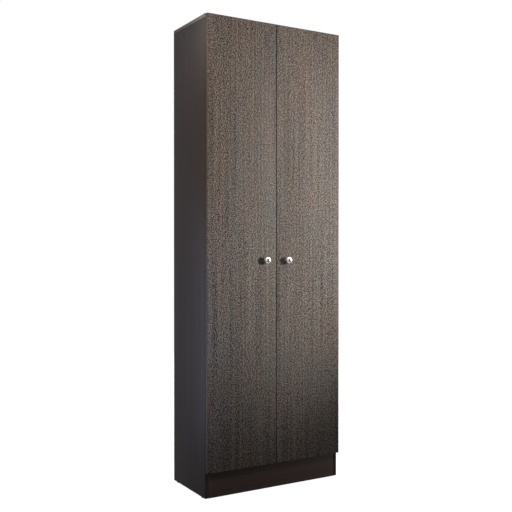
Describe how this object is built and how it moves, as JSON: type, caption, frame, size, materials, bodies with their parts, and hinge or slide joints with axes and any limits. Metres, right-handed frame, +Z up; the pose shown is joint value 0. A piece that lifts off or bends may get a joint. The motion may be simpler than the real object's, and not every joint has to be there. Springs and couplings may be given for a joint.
{
  "type": "broom cupboard",
  "caption": "Tall narrow two-door broom cupboard with flush laminate doors on concealed hinges, round metal knobs, a broom bay and adjustable shelves.",
  "frame": {"origin": "middle of the underside of the closed cupboard's bounding box, on the floor", "axes": "+Z up, -Y to the front where the doors are, +X to the right as seen from the front"},
  "size_m": [0.6, 0.3238, 1.8],
  "materials": {
    "carcass_laminate": "satin dark wenge-look laminate",
    "shelf_laminate": "satin dark laminate",
    "door_laminate": "satin wenge-look laminate, grain upright",
    "hardboard": "raw hardboard, dark printed inside",
    "beech": "fluted beech",
    "bright_nickel": "polished nickel",
    "hinge_steel": "nickel-plated pressed steel",
    "cup_plastic": "moulded brown nylon",
    "cast_zinc": "die-cast zinc",
    "brown_plastic": "moulded brown plastic",
    "clear_rubber": "clear soft bumper",
    "zinc_steel": "zinc-plated steel"
  },
  "bodies": {
    "carcass": {"adjustable_shelf_1": "shelf_laminate", "adjustable_shelf_2": "shelf_laminate", "adjustable_shelf_3": "shelf_laminate", "back_joining_strip": "brown_plastic", "back_lower_sheet": "hardboard", "back_nails": "zinc_steel", "back_upper_sheet": "hardboard", "bottom_panel": "carcass_laminate", "cam_bolts": "cast_zinc", "cam_housings": "cast_zinc", "catch_housings": "brown_plastic", "catch_poles": "zinc_steel", "centre_divider": "carcass_laminate", "dowels": "beech", "floor_glides": "brown_plastic", "left_hinge_arm_screws": "zinc_steel", "left_hinge_arms": "hinge_steel", "left_hinge_plate_screws": "zinc_steel", "left_hinge_plates": "hinge_steel", "left_side": "carcass_laminate", "plinth_board": "carcass_laminate", "plinth_bracket_screws": "zinc_steel", "plinth_brackets": "zinc_steel", "right_hinge_arm_screws": "zinc_steel", "right_hinge_arms": "hinge_steel", "right_hinge_plate_screws": "zinc_steel", "right_hinge_plates": "hinge_steel", "right_side": "carcass_laminate", "shelf_pins": "zinc_steel", "top_panel": "carcass_laminate", "upper_shelf": "carcass_laminate", "wall_bracket": "zinc_steel", "wall_bracket_screws": "zinc_steel"},
    "left_door": {"left_door_panel": "door_laminate", "left_hinge_cups": "cup_plastic", "left_hinge_pins": "hinge_steel", "left_knob": "bright_nickel", "left_knob_screw": "zinc_steel", "left_strike_plate": "zinc_steel", "left_door_bumpers": "clear_rubber"},
    "right_door": {"right_door_panel": "door_laminate", "right_hinge_cups": "cup_plastic", "right_hinge_pins": "hinge_steel", "right_knob": "bright_nickel", "right_knob_screw": "zinc_steel", "right_strike_plate": "zinc_steel", "right_door_bumpers": "clear_rubber"}
  },
  "joints": [
    {"name": "left_door_hinge", "type": "hinge", "parent": "carcass", "child": "left_door", "pos_m": [-0.293, -0.1297, 0.9485], "axis": [0, 0, -1], "range_deg": [0, 95]},
    {"name": "right_door_hinge", "type": "hinge", "parent": "carcass", "child": "right_door", "pos_m": [0.293, -0.1297, 0.9485], "axis": [0, 0, 1], "range_deg": [0, 95]}
  ]
}
